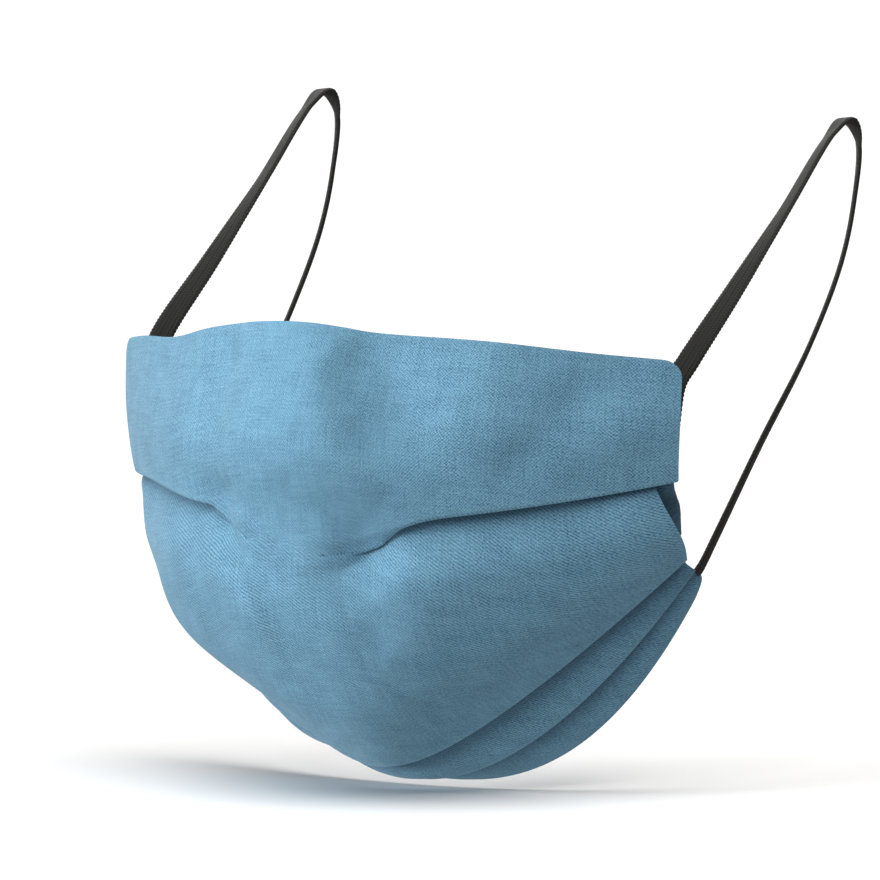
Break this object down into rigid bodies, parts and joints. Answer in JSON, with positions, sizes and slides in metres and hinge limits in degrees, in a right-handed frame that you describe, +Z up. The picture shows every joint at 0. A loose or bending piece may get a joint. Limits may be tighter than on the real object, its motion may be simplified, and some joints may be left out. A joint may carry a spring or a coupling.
{
  "type": "cloth face mask",
  "caption": "Pleated cloth face mask with side casings and flat elastic ear loops, in the form it takes over nose, mouth and chin.",
  "frame": {"origin": "middle of the mask's top edge, on the bridge of the nose", "axes": "+X to the wearer's left, +Y back towards the wearer's face and ears (the mask faces -Y), +Z up"},
  "size_m": [0.1474, 0.1632, 0.1512],
  "materials": {
    "cotton": "light blue chambray weave, matt",
    "elastic": "dark ribbed flat elastic, matt"
  },
  "bodies": {
    "root": {"mask_body": "cotton", "side_casing_left": "cotton", "side_casing_right": "cotton", "ear_loop_left": "elastic", "ear_loop_right": "elastic"}
  },
  "joints": []
}
